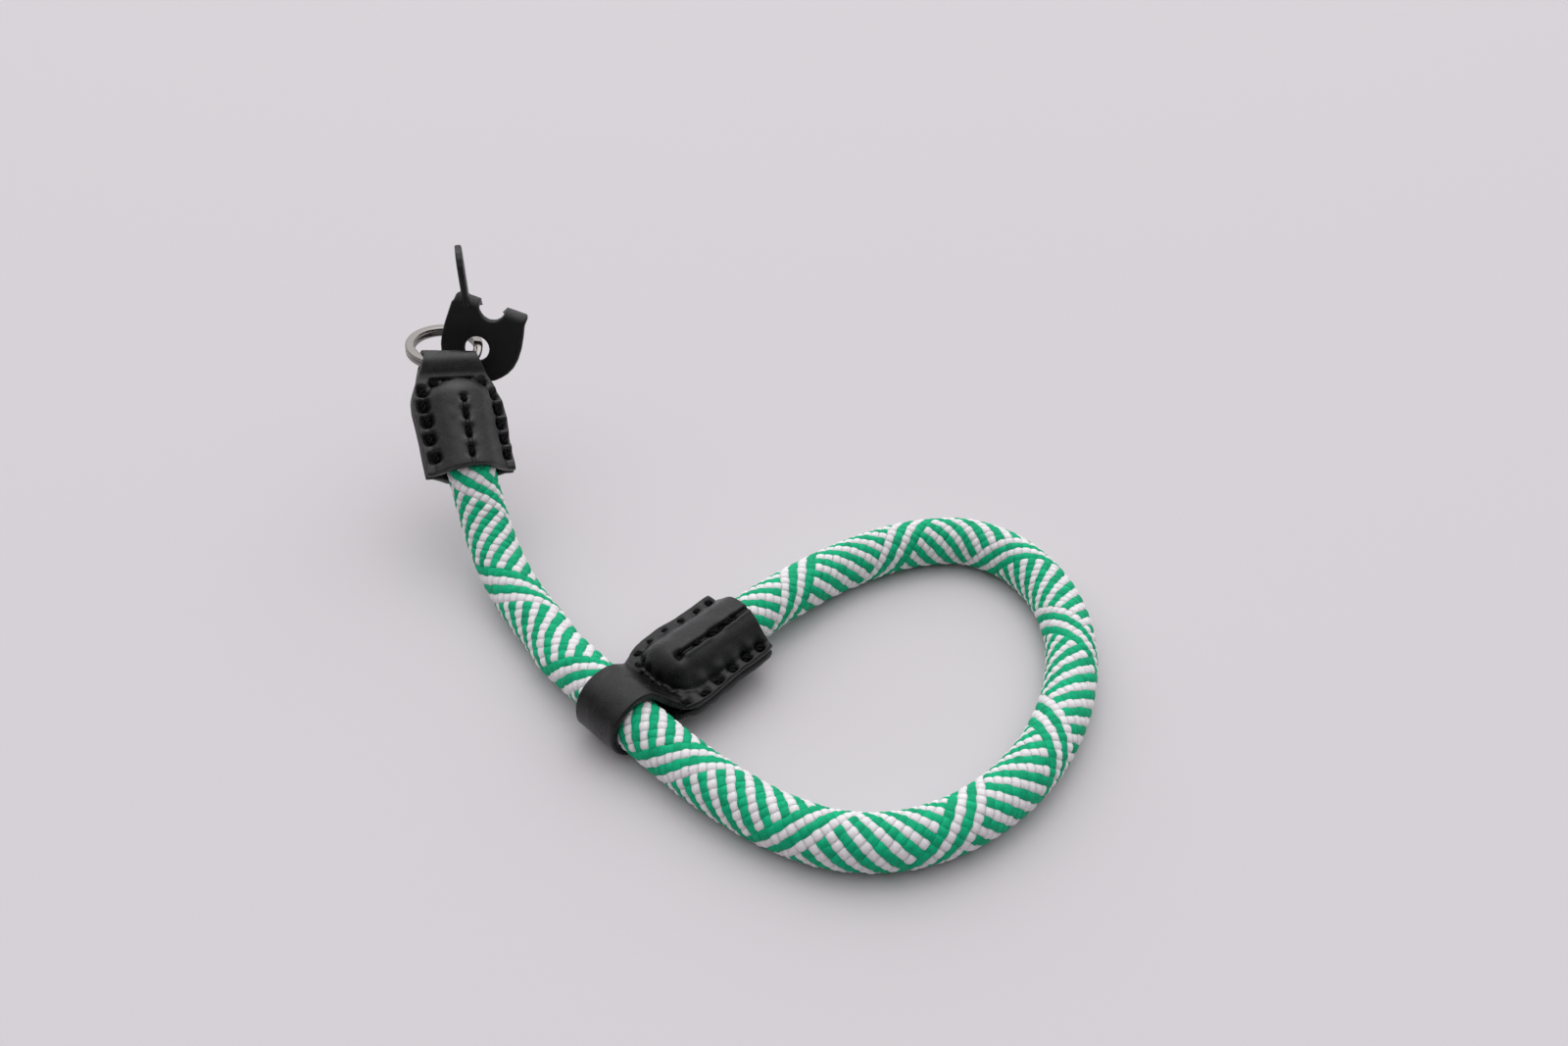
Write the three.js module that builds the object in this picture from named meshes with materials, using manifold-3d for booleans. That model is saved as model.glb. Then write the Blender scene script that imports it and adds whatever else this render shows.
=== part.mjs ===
// Camera wrist strap: a thick braided rope, a leather end folded round a split
// ring, a leather end whose neck slides on the standing rope and closes the hand
// loop, a two-coil split ring, and the leather tab that sits between the ring
// and a camera's lug.
//
// Millimetres, +Z up. The origin is the point where a camera's lug comes through
// the tab. The hand loop lies on a level surface FLOOR below it.
import * as THREE from 'three';
import Module from 'manifold-3d';
import { mergeVertices } from 'three/addons/utils/BufferGeometryUtils.js';

const wasm = await Module();
wasm.setup();

// ---- driving dimensions ---------------------------------------------------
const ROPE_D = 11.2;           // braided rope, outside
const ROPE_SIDES = 16;
const ROPE_STEPS = 120;
const GAP = 0.3;              // air between pieces that touch
const LEATHER = 1.7;          // one layer of cap leather
const FLOOR = -49;            // the surface that the loop lies on

const RING_OD = 18.4;         // split ring, outside
const RING_BAND = 2.2;        // its wire, measured along the radius
const COIL_H = 1.2;          // its wire, measured along the axis
const COIL_GAP = 0.1;         // between the two coils
const RING_END_DEG = 20;      // how far each wire end stops short of the step

const BAND_W = 12;            // slider band, along the standing rope
const BAND_LEATHER = 1.45;    // its leather
const BAND_SHIFT = 0.5;       // how far it sits past the cap's axis, along that rope
const SLIDER_LENGTH = 35.0;   // from the standing rope's axis to the mouth
const EYE_R = 3.4;            // fold round the split ring, outer radius
const SOCKET_RING = 10;       // rope's end in the ring cap, from the eye
const SOCKET_SLIDER = 13.5;   // rope's end in the slider cap, from the band

const TAB_T = 1.6;            // protector leather
const FOLD_R = 1.5;           // bend over the lug, at the middle of the leather
const LUG_HOLE_R = 3.4;       // the hole that the lug comes through
const RING_HOLE_R = 3.0;      // the hole that the ring passes through

const rad = THREE.MathUtils.degToRad;
const vec = (x, y, z) => new THREE.Vector3(x, y, z);

// ---- where things stand -----------------------------------------------------
// ring cap: the centre of its eye, and the way it points
const EYE = vec(-9.0, -12.6, -10.7);
const CAP_AXIS = vec(0.246, -0.755, -0.607).normalize();
const CAP_ACROSS = vec(0.886, 0.43, -0.176);
// slider cap: where the band holds the standing rope, and the way it points
const BAND = vec(39.4, -95.2, -41.4);
const SLIDER_AXIS = vec(0.686, 0.728, 0.01).normalize();
// split ring: its centre and the axis that it turns about
const RING_CENTRE = vec(-12.3, -5.1, -10.8);
const RING_AXIS = vec(0.08, 0.0, 1.0).normalize();
// protector: the fold over the lug, from end to end, and the way the flap hangs
const FOLD_LEFT = vec(-9.3, 0.8, 0.1);
const FOLD_RIGHT = vec(7.3, -0.6, -5.3);
const FLAP_DOWN = vec(-0.335, -0.325, -0.884);
const LUG_HOLE = vec(-0.55, 0.15, -2.05);

// the rope's centre line between the two caps, with its height above FLOOR
const ROPE_PATH = [
  { at: 'mouth of the ring cap', x: -1.6, y: -34.0, up: 21.0 },
  { at: 'hanging', x: 0.4, y: -38.4, up: 16.5 },
  { at: 'hanging', x: 2.5, y: -42.8, up: 12.7 },
  { at: 'coming down', x: 5.8, y: -49.2, up: 9.1 },
  { at: 'coming down', x: 10.1, y: -56.4, up: 6.8 },
  { at: 'lead', x: 14.7, y: -63.2, up: 5.8 },
  { at: 'lead', x: 20.8, y: -71.6, up: 5.6 },
  { at: 'lead', x: 24.0, y: -76.9, up: 5.9 },
  { at: 'lead', x: 27.4, y: -81.1, up: 6.4 },
  { at: 'lead', x: 30.7, y: -85.0, up: 6.9 },
  { at: 'lead', x: 34.2, y: -89.1, up: 7.3 },
  { at: 'slider band', x: 39.4, y: -95.2, up: 7.6 },
  { at: 'leaving the band', x: 45.3, y: -100.8, up: 6.9 },
  { at: 'near side', x: 53.3, y: -107.7, up: 5.8 },
  { at: 'near side', x: 62.3, y: -115.1, up: 5.6 },
  { at: 'near side', x: 72.4, y: -121.6, up: 5.6 },
  { at: 'near side', x: 83.3, y: -125.6, up: 5.6 },
  { at: 'near side', x: 94.9, y: -125.5, up: 5.6 },
  { at: 'near side', x: 105.9, y: -121.4, up: 5.6 },
  { at: 'right side', x: 115.3, y: -114.4, up: 5.6 },
  { at: 'right side', x: 123.1, y: -105.5, up: 5.6 },
  { at: 'right side', x: 129.1, y: -95.3, up: 5.6 },
  { at: 'right side', x: 133.2, y: -84.5, up: 5.6 },
  { at: 'right side', x: 135.5, y: -72.7, up: 5.6 },
  { at: 'right side', x: 135.5, y: -61.3, up: 5.6 },
  { at: 'right side', x: 132.5, y: -49.7, up: 5.6 },
  { at: 'far side', x: 126.0, y: -39.9, up: 5.6 },
  { at: 'far side', x: 115.9, y: -34.6, up: 5.6 },
  { at: 'far side', x: 104.2, y: -35.7, up: 5.6 },
  { at: 'far side', x: 93.5, y: -40.4, up: 5.6 },
  { at: 'far side', x: 83.6, y: -47.2, up: 5.8 },
  { at: 'far side', x: 74.8, y: -55.7, up: 6.8 },
  { at: 'mouth of the slider cap', x: 66.3, y: -65.4, up: 7.8 },
];

// ---- building blocks --------------------------------------------------------
// a closed solid through equal outlines, with both ends filled
function loft(outlines) {
  const n = outlines[0].length;
  const pos = outlines.flat().flatMap((p) => [p.x, p.y, p.z]);
  const tri = [];
  for (let i = 0; i + 1 < outlines.length; i++) {
    for (let j = 0; j < n; j++) {
      const a = i * n + j, b = i * n + (j + 1) % n;
      tri.push(a, b, b + n, a, b + n, a + n);
    }
  }
  for (const [i, flip] of [[0, true], [outlines.length - 1, false]]) {
    const mid = outlines[i].reduce((s, p) => s.add(p), vec(0, 0, 0)).divideScalar(n);
    const c = pos.length / 3;
    pos.push(mid.x, mid.y, mid.z);
    for (let j = 0; j < n; j++) {
      const a = i * n + j, b = i * n + (j + 1) % n;
      if (flip) tri.push(c, b, a); else tri.push(c, a, b);
    }
  }
  return solid(closed(pos, tri));
}

// geometry from points and triangles, turned so that its faces point out
function closed(pos, tri) {
  let volume = 0;
  const p = (i) => vec(pos[3 * i], pos[3 * i + 1], pos[3 * i + 2]);
  for (let k = 0; k < tri.length; k += 3) {
    volume += p(tri[k]).dot(p(tri[k + 1]).cross(p(tri[k + 2])));
  }
  if (volume < 0) {
    for (let k = 0; k < tri.length; k += 3) [tri[k], tri[k + 1]] = [tri[k + 1], tri[k]];
  }
  const g = new THREE.BufferGeometry();
  g.setAttribute('position', new THREE.Float32BufferAttribute(pos, 3));
  g.setIndex(tri);
  return g;
}

// geometry to a solid that can be joined and cut, and back
function solid(geometry) {
  let g = geometry.clone();
  for (const name of Object.keys(g.attributes)) if (name !== 'position') g.deleteAttribute(name);
  g = mergeVertices(g, 1e-4);
  const mesh = new wasm.Mesh({
    numProp: 3,
    vertProperties: new Float32Array(g.attributes.position.array),
    triVerts: new Uint32Array(g.index.array),
  });
  mesh.merge();
  return new wasm.Manifold(mesh);
}

function geometryOf(manifold) {
  const mesh = manifold.getMesh();
  const g = new THREE.BufferGeometry();
  g.setAttribute('position', new THREE.BufferAttribute(Float32Array.from(mesh.vertProperties), 3));
  g.setIndex(new THREE.BufferAttribute(Uint32Array.from(mesh.triVerts), 1));
  return g;
}

// a round bar along a curve
function bar(curve, radius, steps, sides = ROPE_SIDES) {
  const section = new THREE.Shape();
  for (let i = 0; i < sides; i++) {
    const a = 2 * Math.PI * i / sides;
    if (i) section.lineTo(radius * Math.cos(a), radius * Math.sin(a));
    else section.moveTo(radius, 0);
  }
  section.closePath();
  return new THREE.ExtrudeGeometry(section, { steps, extrudePath: curve });
}

// ---- the rope -----------------------------------------------------------------
const along = (origin, axis, d) => origin.clone().addScaledVector(axis, d);
const ropeCurve = (extra) => new THREE.CatmullRomCurve3([
  along(EYE, CAP_AXIS, SOCKET_RING - extra),
  along(EYE, CAP_AXIS, 19.6),
  ...ROPE_PATH.map((p) => vec(p.x, p.y, FLOOR + p.up)),
  along(BAND, SLIDER_AXIS, 32),
  along(BAND, SLIDER_AXIS, 24),
  along(BAND, SLIDER_AXIS, SOCKET_SLIDER - extra),
], false, 'centripetal');
const ropeSolid = bar(ropeCurve(0), ROPE_D / 2, ROPE_STEPS);
// the room that the rope needs in the leather
const ropeRoom = solid(bar(ropeCurve(GAP), ROPE_D / 2 + GAP, ROPE_STEPS));

// ---- leather caps ---------------------------------------------------------------
// Two layers, sewn along both sides, with a dome over the rope between them. The
// tables give, at each distance along the cap: the width to the left and to the
// right of its axis, seen from above with its mouth ahead, half the thickness of
// the flat part, the height that the dome reaches, and how far the row leans
// towards the mouth on its left.
const RING_CAP = [
  { s: 0.0, left: 6.1, right: 7.0, flat: 3.1, dome: 0 },
  { s: 1.8, left: 6.8, right: 7.6, flat: 2.7, dome: 0 },
  { s: 3.4, left: 7.5, right: 8.4, flat: 1.8, dome: 0 },
  { s: 4.4, left: 7.9, right: 8.9, flat: 1.7, dome: 0 },
  { s: 5.2, left: 8.4, right: 9.1, flat: 1.7, dome: 3.6 },
  { s: 6.2, left: 8.8, right: 9.6, flat: 1.7, dome: 5.2 },
  { s: 7.6, left: 9.4, right: 10.2, flat: 1.7, dome: 6.5 },
  { s: 9.4, left: 10.2, right: 10.8, flat: 1.7, dome: 7.3 },
  { s: 12, left: 10.7, right: 11.1, flat: 1.7, dome: 7.35 },
  { s: 16, left: 10.7, right: 10.8, flat: 1.7, dome: 7.3 },
  { s: 20, left: 10.5, right: 10.6, flat: 1.7, dome: 7.3 },
  { s: 24.5, left: 10.6, right: 10.5, flat: 1.7, dome: 7.35 },
  { s: 27.8, left: 10.6, right: 10.3, flat: 1.7, dome: 7.45 },
  { s: 28.4, left: 10.4, right: 10.2, flat: 1.5, dome: 7.3 },
];
const R_BAND = ROPE_D / 2 + GAP + BAND_LEATHER;
const bandRow = (s) => ({
  s, left: BAND_W / 2, right: BAND_W / 2, flat: Math.sqrt(R_BAND ** 2 - s ** 2), dome: 0,
});
const SLIDER_CAP = [
  { s: -R_BAND, left: BAND_W / 2 - 0.3, right: BAND_W / 2 - 0.3, flat: 0.9, dome: 0 },
  ...[-7, -6.4, -5.4, -4, -2.4, -0.8, 0.8, 2.4, 3.8].map(bandRow),
  { s: 5, left: 6.1, right: 6.6, flat: 5.4, dome: 0 },
  { s: 6.2, left: 6.4, right: 7.2, flat: 4.3, dome: 0 },
  { s: 7.4, left: 7.2, right: 8.5, flat: 3.2, dome: 0 },
  { s: 8.6, left: 8.0, right: 9.8, flat: 2.5, dome: 0 },
  { s: 9.2, left: 8.4, right: 10.3, flat: 2.1, dome: 3.2 },
  { s: 10.2, left: 9.1, right: 11.1, flat: 1.8, dome: 4.8 },
  { s: 11.2, left: 9.7, right: 11.5, flat: 1.7, dome: 5.9 },
  { s: 12.2, left: 10.1, right: 11.6, flat: 1.7, dome: 6.7 },
  { s: 13.5, left: 10.5, right: 11.6, flat: 1.7, dome: 7.2 },
  { s: 15.5, left: 10.9, right: 11.5, flat: 1.7, dome: 7.3 },
  { s: 20, left: 11.3, right: 11.0, flat: 1.7, dome: 7.3 },
  { s: 24.5, left: 11.1, right: 10.6, flat: 1.7, dome: 7.3, skew: 0.01 },
  { s: 29, left: 11.2, right: 10.6, flat: 1.7, dome: 7.35, skew: 0.03 },
  { s: 33.2, left: 11.6, right: 10.4, flat: 1.7, dome: 7.45, skew: 0.06 },
  { s: SLIDER_LENGTH, left: 11.5, right: 9.9, flat: 1.5, dome: 7.3, skew: 0.06 },
];
// places across the cap, as shares of half its width
const ACROSS = [0, 0.05, 0.12, 0.22, 0.33, 0.44, 0.54, 0.62, 0.7, 0.8, 0.94, 1];
const shares = [...ACROSS.slice(1).reverse().map((t) => -t), ...ACROSS];

// height of the outer face above the rope's level at u across the cap
function capHeight(row, u, half, seam) {
  const edge = 1 - 0.35 * Math.max(0, (Math.abs(u) - half + 0.8) / 0.8);
  const flat = row.flat * edge;
  if (!row.dome) return flat;
  const r = row.dome, a = Math.abs(u);
  // a round top that runs out in straight sides
  const round = a < 0.72 * r ? Math.sqrt(r * r - a * a) : 0.694 * r - 1.04 * (a - 0.72 * r);
  const soft = 0.9;
  const top = (flat + round + Math.sqrt((flat - round) ** 2 + soft)) / 2;
  return top - seam * Math.exp(-((u / 0.75) ** 2));
}

// shift moves the plain rows sideways; the domed ones stay over the rope
function cap(origin, axis, acrossHint, table, seamFrom, seamTo, shift = 0) {
  const normal = acrossHint.clone().cross(axis).normalize();
  if (normal.z < 0) normal.negate();
  const left = normal.clone().cross(axis).normalize();
  const outlines = table.map((row) => {
    const seam = row.s > seamFrom && row.s < seamTo ? 0.45 : 0;
    const aside = shift * THREE.MathUtils.clamp((9.6 - row.s) / 5, 0, 1);
    const point = (u, w) => along(origin, axis, row.s + (row.skew ?? 0) * u)
      .addScaledVector(left, u + aside).addScaledVector(normal, w);
    const places = shares.map((t) => {
      const half = t < 0 ? row.right : row.left;
      return [t * half, capHeight(row, t * half, half, seam)];
    });
    return [...places.map(([u, w]) => point(u, w)), ...places.map(([u, w]) => point(u, -w)).reverse()];
  });
  return { body: loft(outlines), left, normal };
}

// ---- the split ring ---------------------------------------------------------------
// Its own frame: centre at the origin, axis Z, x to the right.
const RING_R = RING_OD / 2 - RING_BAND / 2;
function ringWire() {
  const steps = 68;
  const hw = RING_BAND / 2, hh = COIL_H / 2, c = 0.3;
  const section = [
    [hw, -hh + c], [hw, hh - c], [hw - c, hh], [-hw + c, hh],
    [-hw, hh - c], [-hw, -hh + c], [-hw + c, -hh], [hw - c, -hh],
  ];
  const rise = (COIL_H + COIL_GAP) / 2;
  const outlines = [];
  for (let i = 0; i <= steps; i++) {
    const a = RING_END_DEG + (720 - 2 * RING_END_DEG) * i / steps;
    const t = THREE.MathUtils.clamp((a - 360) / RING_END_DEG, -1, 1);
    const z = rise * Math.sin(t * Math.PI / 2);
    outlines.push(section.map(([r, h]) => vec(
      (RING_R + r) * Math.cos(rad(a)), (RING_R + r) * Math.sin(rad(a)), z + h)));
  }
  return loft(outlines);
}
// the room that the ring needs, so that it can be turned through the leather
function ringRoom() {
  const hw = RING_BAND / 2 + GAP, hh = COIL_H + COIL_GAP / 2 + GAP, c = 0.4;
  const profile = [
    [hw, -hh + c], [hw, hh - c], [hw - c, hh], [-hw + c, hh],
    [-hw, hh - c], [-hw, -hh + c], [-hw + c, -hh], [hw - c, -hh], [hw, -hh + c],
  ].map(([r, h]) => new THREE.Vector2(RING_R + r, h));
  const g = new THREE.LatheGeometry(profile, 64);
  g.rotateX(Math.PI / 2);
  return solid(g);
}
const ringX = vec(1, 0, 0).cross(RING_AXIS).cross(RING_AXIS).negate().normalize();
const ringFrame = new THREE.Matrix4()
  .makeBasis(ringX, RING_AXIS.clone().cross(ringX), RING_AXIS)
  .setPosition(RING_CENTRE);
const placed = (manifold, matrix) => {
  const g = geometryOf(manifold);
  g.applyMatrix4(matrix);
  return solid(g);
};
const splitRing = placed(ringWire(), ringFrame);
const ringTunnel = placed(ringRoom(), ringFrame);

// ---- ring cap -----------------------------------------------------------------------
const ringCapBody = cap(EYE, CAP_AXIS, CAP_ACROSS, RING_CAP, 10.5, 28);
// The eye follows the ring for the width of the fold. Its middle line: to the left
// of the cap's axis, along the cap, and above its level.
const EYE_LINE = [[-6.3, -1.3, -1.6], [-3, -0.4, -0.8], [0, 0.0, -0.5], [3, -0.1, -0.8], [5.9, -0.6, -1.4]];
function eyeRoll() {
  const { left, normal } = ringCapBody;
  const at = ([u, d, w]) => EYE.clone().addScaledVector(left, u)
    .addScaledVector(CAP_AXIS, d).addScaledVector(normal, w);
  const curve = new THREE.CatmullRomCurve3(EYE_LINE.map(at));
  return solid(bar(curve, EYE_R, 10, 16));
}
const ringCap = ringCapBody.body.add(eyeRoll()).subtract(ropeRoom).subtract(ringTunnel);

// ---- slider cap -----------------------------------------------------------------------
const level = vec(0, 0, 1).cross(SLIDER_AXIS);
const sliderCap = cap(BAND, SLIDER_AXIS, level, SLIDER_CAP, 14, 33.5, -BAND_SHIFT).body.subtract(ropeRoom);

// ---- lug protector ----------------------------------------------------------------------
// A leather sheet given by rows: middle, direction across, half width.
function sheet(rows, thickness) {
  const outlines = rows.map((row, i) => {
    const ahead = rows[Math.min(i + 1, rows.length - 1)].mid;
    const back = rows[Math.max(i - 1, 0)].mid;
    const normal = ahead.clone().sub(back).cross(row.across).normalize();
    const t = thickness / 2, e = 0.35;
    return [
      [-1, -t + e], [-1, t - e], [-1 + e / row.half, t], [1 - e / row.half, t],
      [1, t - e], [1, -t + e], [1 - e / row.half, -t], [-1 + e / row.half, -t],
    ].map(([u, w]) => row.mid.clone()
      .addScaledVector(row.across, u * row.half).addScaledVector(normal, w));
  });
  return loft(outlines);
}
const foldDir = FOLD_RIGHT.clone().sub(FOLD_LEFT).normalize();
const foldMid = FOLD_LEFT.clone().add(FOLD_RIGHT).multiplyScalar(0.5);
const flapUp = FLAP_DOWN.clone().normalize().negate();
flapUp.addScaledVector(foldDir, -flapUp.dot(foldDir)).normalize();
const foldBack = foldDir.clone().cross(flapUp).negate();
if (foldBack.y < 0) foldBack.negate();
const flapPoint = (side, drop) => foldMid.clone()
  .addScaledVector(foldDir, side).addScaledVector(flapUp, -drop);
// its outline: distance below the fold, and how far it reaches to each side
const FLAP = [
  { drop: 18.4, left: 1.2, right: 2.0 },
  { drop: 17.9, left: 3.2, right: 4.0 },
  { drop: 16.9, left: 5.4, right: 6.0 },
  { drop: 15.7, left: 7.1, right: 7.3 },
  { drop: 14.2, left: 8.4, right: 8.5 },
  { drop: 12.4, left: 9.1, right: 9.4 },
  { drop: 10.0, left: 9.5, right: 9.9 },
  { drop: 7.0, left: 9.6, right: 9.9 },
  { drop: 4.0, left: 9.5, right: 9.5 },
  { drop: FOLD_R, left: 9.4, right: 9.0 },
];
const flapRows = FLAP.map((r) => ({
  mid: flapPoint((r.right - r.left) / 2, r.drop), across: foldDir, half: (r.left + r.right) / 2,
}));
for (let i = 1; i <= 5; i++) {
  const a = rad(18 * i);
  flapRows.push({
    mid: foldMid.clone()
      .addScaledVector(flapUp, -FOLD_R + FOLD_R * Math.sin(a) + 0.1)
      .addScaledVector(foldBack, FOLD_R * (1 - Math.cos(a))),
    across: foldDir, half: 9.0,
  });
}
flapRows.push({
  mid: foldMid.clone().addScaledVector(flapUp, 0.1).addScaledVector(foldBack, FOLD_R + 2.2),
  across: foldDir, half: 8.6,
});
const flap = sheet(flapRows, TAB_T);
// the other end of the tab stands up beside the lug
const TAIL_ACROSS = vec(-0.237, 0.97, 0).normalize();
const TAIL = [
  { z: -1.6, half: 3.6, y: 2.6 },
  { z: 1.2, half: 4.6, y: 3.2 },
  { z: 5, half: 5.2, y: 3.8 },
  { z: 8.4, half: 4.9, y: 4.2 },
  { z: 10, half: 3.7, y: 4.4 },
  { z: 10.8, half: 2.2, y: 4.5 },
];
const tail = sheet(TAIL.map((r) => ({
  mid: vec(-7.5 - 0.3 * (r.y - 2.6) - 0.02 * r.z, r.y, r.z), across: TAIL_ACROSS, half: r.half,
})), TAB_T);
const through = (centre, axis, radius, reach) => solid(bar(
  new THREE.LineCurve3(along(centre, axis, -reach), along(centre, axis, reach)), radius, 1, 24));
const lugHole = through(LUG_HOLE, vec(0, 1, 0), LUG_HOLE_R, 12);
const ringHole = through(flapPoint(-0.4, 10.6), foldBack, RING_HOLE_R, 4);
const lugProtector = flap.add(tail).subtract(lugHole).subtract(ringHole).subtract(ringTunnel);

// ---- the assembly -------------------------------------------------------------------------
const strap = new THREE.Group();
strap.name = 'camera_wrist_strap';
function piece(name, geometry, colour, roughness, metalness) {
  const mesh = new THREE.Mesh(geometry, new THREE.MeshStandardMaterial({
    color: colour, roughness, metalness, name,
  }));
  mesh.name = name;
  strap.add(mesh);
}
piece('rope', ropeSolid, 0x4fb98c, 0.75, 0);
piece('ring_cap', geometryOf(ringCap), 0x1a1b1c, 0.5, 0);
piece('slider_cap', geometryOf(sliderCap), 0x1a1b1c, 0.5, 0);
piece('split_ring', geometryOf(splitRing), 0x5c5856, 0.25, 1);
piece('lug_protector', geometryOf(lugProtector), 0x161718, 0.5, 0);

export default strap;
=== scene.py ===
"""Looks of the camera wrist strap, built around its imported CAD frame.

Lengths in this file are millimetres until a mesh is made; +Z is up, and the
origin is where a camera's lug comes through the protector tab.
"""

import math

import bpy
import numpy as np
from mathutils import Matrix


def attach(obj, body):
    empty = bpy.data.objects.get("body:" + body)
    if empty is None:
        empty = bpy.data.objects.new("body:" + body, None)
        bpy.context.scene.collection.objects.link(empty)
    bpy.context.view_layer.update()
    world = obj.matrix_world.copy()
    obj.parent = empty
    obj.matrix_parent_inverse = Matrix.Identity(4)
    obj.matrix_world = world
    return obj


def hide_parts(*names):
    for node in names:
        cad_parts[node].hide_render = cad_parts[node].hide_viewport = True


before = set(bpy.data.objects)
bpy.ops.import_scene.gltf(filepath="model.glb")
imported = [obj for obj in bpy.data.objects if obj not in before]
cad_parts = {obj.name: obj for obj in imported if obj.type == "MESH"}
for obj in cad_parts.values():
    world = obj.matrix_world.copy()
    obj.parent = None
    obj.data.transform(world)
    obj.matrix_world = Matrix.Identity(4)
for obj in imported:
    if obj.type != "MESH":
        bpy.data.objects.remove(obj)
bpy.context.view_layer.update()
scene = bpy.context.scene
MM = 0.001
FLOOR = -49.0

# ---------------------------------------------------------------- camera
PITCH, ROLL = 0.6591, 0.0289
cp, sp, cr, sr = math.cos(PITCH), math.sin(PITCH), math.cos(ROLL), math.sin(ROLL)
turn = (np.array([[cr, -sr, 0], [sr, cr, 0], [0, 0, 1]])
        @ np.array([[1, 0, 0], [0, cp, -sp], [0, sp, cp]])
        @ np.array([[1, 0, 0], [0, 0, -1], [0, 1, 0]]))
camera = bpy.data.objects.new("camera", bpy.data.cameras.new("camera"))
scene.collection.objects.link(camera)
camera.matrix_world = Matrix(
    [[*turn[0], 0], [*-turn[1], 0], [*-turn[2], 0], [0, 0, 0, 1]]).transposed()
camera.location = (71.87 * MM, -285.35 * MM, 155.00 * MM)
camera.data.sensor_width = 36.0
camera.data.lens = 30.37
camera.data.clip_start, camera.data.clip_end = 0.01, 30.0
scene.camera = camera
scene.view_settings.view_transform = "Standard"
scene.view_settings.look = "None"


# ---------------------------------------------------------------- helpers
def unit(v):
    v = np.asarray(v, float)
    return v / np.linalg.norm(v, axis=-1, keepdims=True)


def smooth_table(xs, ys, x):
    """A cubic curve through a table, with its slope."""
    xs, ys, x = (np.asarray(a, float) for a in (xs, ys, x))
    m = np.gradient(ys, xs)
    k = np.clip(np.searchsorted(xs, x) - 1, 0, len(xs) - 2)
    h = xs[k + 1] - xs[k]
    t = np.clip((x - xs[k]) / h, 0, 1)
    a, b, ma, mb = ys[k], ys[k + 1], m[k] * h, m[k + 1] * h
    y = (a * (2 * t**3 - 3 * t**2 + 1) + ma * (t**3 - 2 * t**2 + t)
         + b * (3 * t**2 - 2 * t**3) + mb * (t**3 - t**2))
    dy = (a * (6 * t**2 - 6 * t) + ma * (3 * t**2 - 4 * t + 1)
          + b * (6 * t - 6 * t**2) + mb * (3 * t**2 - 2 * t)) / h
    return y, dy


def hashed(*parts):
    """A repeatable number from 0 to 1 for each set of whole numbers."""
    x = np.zeros(np.broadcast(*parts).shape if len(parts) > 1 else np.shape(parts[0]))
    for k, p in enumerate(parts):
        x = x + np.asarray(p, float) * (12.9898, 78.233, 37.719, 9.151)[k]
    x = np.sin(x) * 43758.5453
    return x - np.floor(x)


def wander(x, seed):
    """A smooth curve from -1 to 1 that wanders with x, one turn in about 1."""
    i = np.floor(x)
    t = x - i
    t = t * t * (3 - 2 * t)
    return 2 * ((1 - t) * hashed(i, seed) + t * hashed(i + 1, seed)) - 1


def wander2(x, y, seed):
    i, j = np.floor(x), np.floor(y)
    s, t = x - i, y - j
    s, t = s * s * (3 - 2 * s), t * t * (3 - 2 * t)
    top = (1 - s) * hashed(i, j, seed) + s * hashed(i + 1, j, seed)
    low = (1 - s) * hashed(i, j + 1, seed) + s * hashed(i + 1, j + 1, seed)
    return 2 * ((1 - t) * top + t * low) - 1


def add_piece(name, verts, faces, material, body, node=None, fibre=None):
    verts = np.asarray(verts, float)
    first = faces[0] if isinstance(faces, list) else faces
    quads = np.asarray(first)
    p = verts
    volume = np.einsum("ij,ij->i", p[quads[:, 0]], np.cross(p[quads[:, 1]], p[quads[:, 2]])).sum()
    if quads.shape[1] == 4:
        volume += np.einsum("ij,ij->i", p[quads[:, 0]], np.cross(p[quads[:, 2]], p[quads[:, 3]])).sum()
    groups = faces if isinstance(faces, list) else [faces]
    out = []
    for g in groups:
        g = np.asarray(g)
        out.extend(map(tuple, (g[:, ::-1] if volume < 0 else g).tolist()))
    mesh = bpy.data.meshes.new(name)
    mesh.from_pydata((verts * MM).tolist(), [], out)
    mesh.validate()
    mesh.update()
    mesh.shade_smooth()
    if fibre is not None:
        layer = mesh.attributes.new("fibre", "FLOAT_VECTOR", "POINT")
        layer.data.foreach_set("vector", np.asarray(fibre, np.float32).ravel())
    mesh.materials.append(material)
    obj = bpy.data.objects.new(name, mesh)
    scene.collection.objects.link(obj)
    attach(obj, body)
    if node:
        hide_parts(node)
    return obj


def grid_faces(rows, cols, closed_cols, base=0):
    """Quads of a grid whose points are numbered row by row."""
    r = np.arange(rows - 1)[:, None]
    c = np.arange(cols if closed_cols else cols - 1)[None, :]
    a = r * cols + c
    b = r * cols + (c + 1) % cols
    return (np.stack([a, b, b + cols, a + cols], -1).reshape(-1, 4) + base)


def fan_faces(ring, centre):
    ring = np.asarray(ring)
    return np.stack([np.full(len(ring), centre), ring, np.roll(ring, -1)], -1)


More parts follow.
